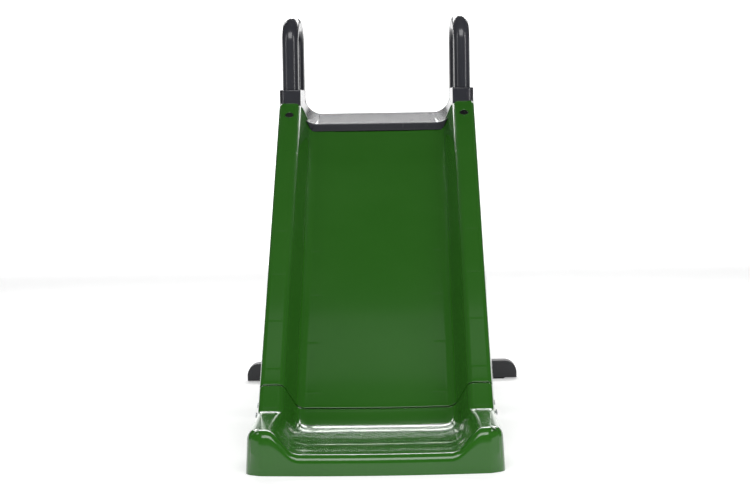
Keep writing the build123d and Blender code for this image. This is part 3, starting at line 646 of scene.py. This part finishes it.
def tube_nodes():
    """Geometry nodes: round a path's corners, run the tube's section along it, and pinch it."""
    tree = bpy.data.node_groups.new("handrail_tube", "GeometryNodeTree")
    tree.interface.new_socket("Path", in_out="INPUT", socket_type="NodeSocketGeometry")
    for name in ("Bend Radius", "Tube Width", "Tube Depth", "Corner Radius", "Pinch Height"):
        tree.interface.new_socket(name, in_out="INPUT", socket_type="NodeSocketFloat")
    tree.interface.new_socket("Material", in_out="INPUT", socket_type="NodeSocketMaterial")
    tree.interface.new_socket("Tube", in_out="OUTPUT", socket_type="NodeSocketGeometry")
    given = tree.nodes.new("NodeGroupInput").outputs
    bend = tree.nodes.new("GeometryNodeFilletCurve")
    even = tree.nodes.new("GeometryNodeResampleCurve")
    section = tree.nodes.new("GeometryNodeCurvePrimitiveQuadrilateral")
    soften = tree.nodes.new("GeometryNodeFilletCurve")
    for fillet, count in ((bend, arch_steps), (soften, tube_corner_steps)):
        set_choice(fillet, "mode", "Mode", "POLY", "Poly")
        fillet.inputs["Count"].default_value = count
    set_choice(even, "mode", "Mode", "LENGTH", "Length")
    even.inputs["Length"].default_value = path_step
    height = tree.nodes.new("ShaderNodeSeparateXYZ")
    away = tree.nodes.new("ShaderNodeMath")
    away.operation = "SUBTRACT"
    size = tree.nodes.new("ShaderNodeMath")
    size.operation = "ABSOLUTE"
    pinch = tree.nodes.new("ShaderNodeMapRange")
    pinch.inputs["From Max"].default_value = 3 * mm
    pinch.inputs["To Min"].default_value = 0.975
    pinch.inputs["To Max"].default_value = 1
    radius = tree.nodes.new("GeometryNodeSetCurveRadius")
    tube = tree.nodes.new("GeometryNodeCurveToMesh")
    smooth = tree.nodes.new("GeometryNodeSetShadeSmooth")
    whole = tree.nodes.new("GeometryNodeRealizeInstances")
    paint = tree.nodes.new("GeometryNodeSetMaterial")
    result = tree.nodes.new("NodeGroupOutput")
    link(tree, given["Path"], bend.inputs["Curve"])
    link(tree, given["Bend Radius"], bend.inputs["Radius"])
    link(tree, bend.outputs["Curve"], even.inputs["Curve"])
    link(tree, tree.nodes.new("GeometryNodeInputPosition").outputs[0], height.inputs[0])
    link(tree, height.outputs["Z"], away.inputs[0])
    link(tree, given["Pinch Height"], away.inputs[1])
    link(tree, away.outputs[0], size.inputs[0])
    link(tree, size.outputs[0], pinch.inputs["Value"])
    link(tree, even.outputs["Curve"], radius.inputs["Curve"])
    link(tree, pinch.outputs["Result"], radius.inputs["Radius"])
    link(tree, given["Tube Width"], section.inputs["Width"])
    link(tree, given["Tube Depth"], section.inputs["Height"])
    link(tree, section.outputs["Curve"], soften.inputs["Curve"])
    link(tree, given["Corner Radius"], soften.inputs["Radius"])
    link(tree, radius.outputs["Curve"], tube.inputs["Curve"])
    link(tree, soften.outputs["Curve"], tube.inputs["Profile Curve"])
    tube.inputs["Fill Caps"].default_value = True
    link(tree, tube.outputs["Mesh"], smooth.inputs[0])
    link(tree, smooth.outputs[0], whole.inputs["Geometry"])
    link(tree, whole.outputs["Geometry"], paint.inputs["Geometry"])
    link(tree, given["Material"], paint.inputs["Material"])
    link(tree, paint.outputs["Geometry"], result.inputs["Tube"])
    return tree


handrail_tree = tube_nodes()
for side, name in ((-1, "handrail_left"), (1, "handrail_right")):
    path = bpy.data.curves.new(name + "_path", "CURVE")
    path.dimensions = "3D"
    spline = path.splines.new("POLY")
    spline.points.add(3)
    for point, (back, z) in zip(spline.points, ((0, foot_z), (0, arch_z), (1, arch_z), (1, foot_z))):
        x = side * (handrail_half - back * leg_spacing * math.sin(toe_in))
        point.co = (x, handrail_front_y + back * leg_spacing * math.cos(toe_in), z, 1)
    base = bpy.data.objects.new(name + "_path", path)
    bpy.context.scene.collection.objects.link(base)
    loop = grown(name + "_tube", base, handrail_tree, {
        "Bend Radius": loop_radius, "Tube Width": tube_width, "Tube Depth": tube_depth,
        "Corner Radius": tube_corner, "Pinch Height": pinch_z, "Material": anthracite,
    })
    finish_piece(loop, anthracite, "slide", [name])

# Ladder: ribbed injection-moulded legs, steps and foot bar, in a finely grained black plastic.
grained = surface("grained_plastic", (0.020, 0.020, 0.023), (0.035, 0.035, 0.038), 0.42, 0.55, 1400, 0.06)
for name in ("ladder_leg_left", "ladder_leg_right", "step_lower", "step_middle", "step_upper", "foot_bar"):
    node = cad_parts[name]
    node.data.materials.clear()
    node.data.materials.append(grained)

# Rubber pads and buffers under the base, under the foot bar and behind the legs.
rubber = surface("rubber", (0.012, 0.012, 0.012), (0.030, 0.030, 0.028), 0.75, 0.9, 900, 0.08)
for name in ("foot_pads", "base_pads", "ladder_stops"):
    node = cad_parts[name]
    node.data.materials.clear()
    node.data.materials.append(rubber)

# Steel fasteners: blackened bolts and zinc-plated screws, washers, nuts, pins and clips.
black_steel = surface("black_steel", (0.030, 0.030, 0.032), (0.10, 0.10, 0.10), 0.35, 0.5, 500, 0.02,
                      metallic=0.8)
zinc = surface("zinc_steel", (0.55, 0.56, 0.58), (0.40, 0.40, 0.40), 0.28, 0.45, 400, 0.02, metallic=1.0)
nylon = surface("nylon", (0.55, 0.53, 0.48), (0.45, 0.43, 0.39), 0.45, 0.6, 600, 0.03)
finishes = {
    "rail_bolts": black_steel, "handrail_screws": black_steel, "rail_washers": zinc, "rail_nuts": zinc,
    "joint_screws": zinc, "step_screws": zinc, "foot_screws": zinc, "hinge_pins": zinc,
    "hinge_clips": zinc, "hinge_washers": nylon,
}
for name, material in finishes.items():
    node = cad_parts[name]
    node.data.materials.clear()
    node.data.materials.append(material)

# Studio: a white floor that runs up into a low backdrop, soft boxes, and the camera.


def plain(name, colour, roughness, glow=0.0):
    """A plain stage material."""
    material = bpy.data.materials.new(name)
    material.use_nodes = True
    shader = material.node_tree.nodes["Principled BSDF"]
    shader.inputs["Base Color"].default_value = (*colour, 1)
    shader.inputs["Roughness"].default_value = roughness
    shader.inputs["Emission Color"].default_value = (1, 1, 1, 1)
    shader.inputs["Emission Strength"].default_value = glow
    return material


def stage_sheet(name, corners, material):
    """A flat stage surface."""
    mesh = bpy.data.meshes.new(name)
    mesh.from_pydata(corners, [], [(0, 1, 2, 3)])
    sheet = bpy.data.objects.new(name, mesh)
    bpy.context.scene.collection.objects.link(sheet)
    mesh.materials.append(material)


def soft_box(name, place, aim, wide, high, power):
    """An area light at place, aimed at a point."""
    lamp = bpy.data.lights.new(name, "AREA")
    lamp.shape = "RECTANGLE"
    lamp.size = wide
    lamp.size_y = high
    lamp.energy = power
    box = bpy.data.objects.new(name, lamp)
    box.location = place
    box.rotation_euler = (Vector(aim) - Vector(place)).to_track_quat("-Z", "Y").to_euler()
    bpy.context.scene.collection.objects.link(box)


reach = 7
back = 4
stage_sheet("floor", [(-reach, -reach, 0), (reach, -reach, 0), (reach, back, 0), (-reach, back, 0)],
            plain("floor_paper", (0.8, 0.8, 0.8), 0.9, glow=0.38))
stage_sheet("backdrop", [(-reach, back, 0), (reach, back, 0), (reach, back, 1.15), (-reach, back, 1.15)],
            plain("backdrop_paper", (0.9, 0.9, 0.9), 0.9, glow=1.0))
soft_box("back_box", (0, 2.6, 1.72), (0, 0, 0.3), 3.0, 0.6, 44)
soft_box("strip_box", (0, 2.2, 2.12), (0, -0.3, 0.2), 2.6, 0.10, 20)
soft_box("front_box", (0, -3.0, 3.4), (0, -0.1, 0.3), 3.0, 2.0, 118)
soft_box("left_box", (-2.6, -1.2, 1.5), (0, 0, 0.4), 0.4, 2.0, 12)
soft_box("right_box", (2.4, -1.6, 1.5), (0, 0, 0.4), 0.5, 2.0, 24)
soft_box("top_box", (0, 0.62, 3.0), (0, 0.1, 0.3), 1.0, 0.22, 0.25)
world = bpy.data.worlds.new("studio")
world.use_nodes = True
world.node_tree.nodes["Background"].inputs["Color"].default_value = (1, 1, 1, 1)
world.node_tree.nodes["Background"].inputs["Strength"].default_value = 0.06
bpy.context.scene.world = world
bpy.context.scene.view_settings.view_transform = "Standard"

lens = 100.8
sensor = 36
camera_place = Vector((0.051, front_y - 3.353, 0.592))
pitch = math.radians(3.87)
yaw = math.radians(-0.78)
roll = math.radians(-0.90)
ahead = Vector((math.sin(yaw) * math.cos(pitch), math.cos(yaw) * math.cos(pitch), -math.sin(pitch)))
level = Vector((math.cos(yaw), -math.sin(yaw), 0))
upright = level.cross(ahead)
right_axis = level * math.cos(roll) + upright * math.sin(roll)
up_axis = upright * math.cos(roll) - level * math.sin(roll)
camera_data = bpy.data.cameras.new("camera")
camera_data.lens = lens
camera_data.sensor_width = sensor
camera = bpy.data.objects.new("camera", camera_data)
turn = Matrix((right_axis, up_axis, -ahead)).transposed()
camera.matrix_world = Matrix.Translation(camera_place) @ turn.to_4x4()
bpy.context.scene.collection.objects.link(camera)
bpy.context.scene.camera = camera
